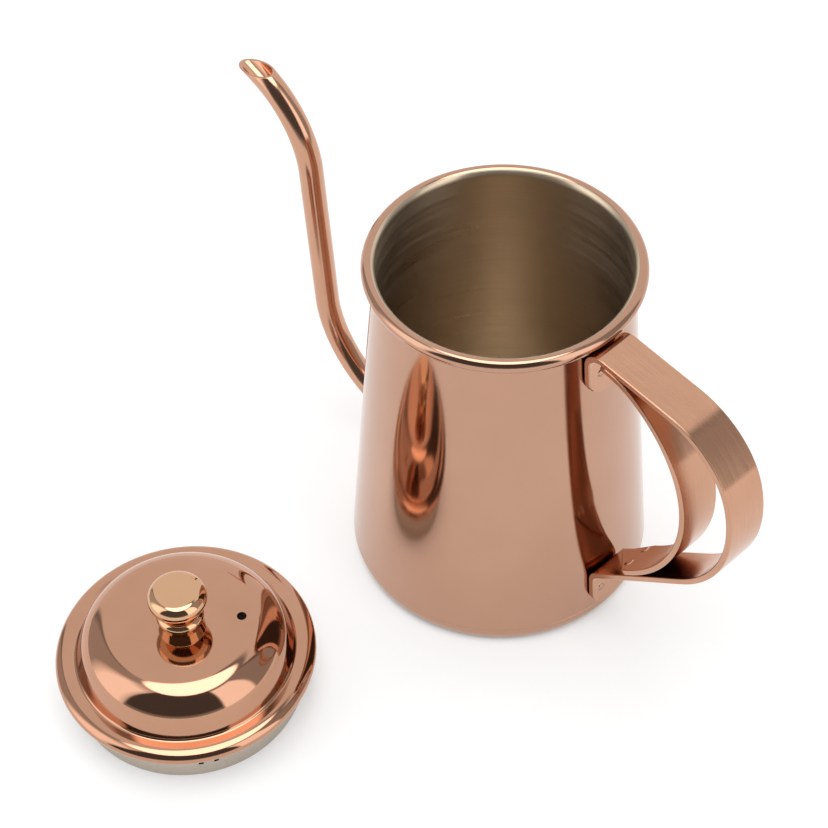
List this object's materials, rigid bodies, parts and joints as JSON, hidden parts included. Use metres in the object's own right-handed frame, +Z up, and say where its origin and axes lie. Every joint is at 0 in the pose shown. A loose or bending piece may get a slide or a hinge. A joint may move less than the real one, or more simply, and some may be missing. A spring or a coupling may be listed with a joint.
{
  "type": "gooseneck drip kettle",
  "caption": "Small copper-finish gooseneck kettle for pour-over coffee, with a two-strap open handle and its domed, knobbed lid lying beside it",
  "frame": {"origin": "the centre of the kettle's base, on the surface it stands on", "axes": "+Z is up, +X runs from the kettle's axis to the handle, -X to the spout, and +Y completes the right-handed frame. The lid lies at -Y."},
  "size_m": [0.2156, 0.202, 0.1314],
  "materials": {
    "copper_polished": "polished rose copper",
    "copper_satin": "satin copper, grain along the strap",
    "steel_satin": "satin",
    "gold_polished": "polished pale gold"
  },
  "bodies": {
    "kettle": {"body_shell": "copper_polished", "base_pan": "copper_polished", "spout_tube": "copper_polished", "handle_outer_strap": "copper_satin", "handle_inner_strap": "copper_satin"},
    "lid": {"lid_cover": "copper_polished", "lid_skirt": "steel_satin", "lid_knob": "gold_polished", "knob_screw": "steel_satin", "knob_washer": "steel_satin"}
  },
  "joints": [
    {"name": "lid_lift", "type": "slide", "parent": "kettle", "child": "lid", "axis": [0, 0, 1], "range_m": [0, 0.15]}
  ]
}
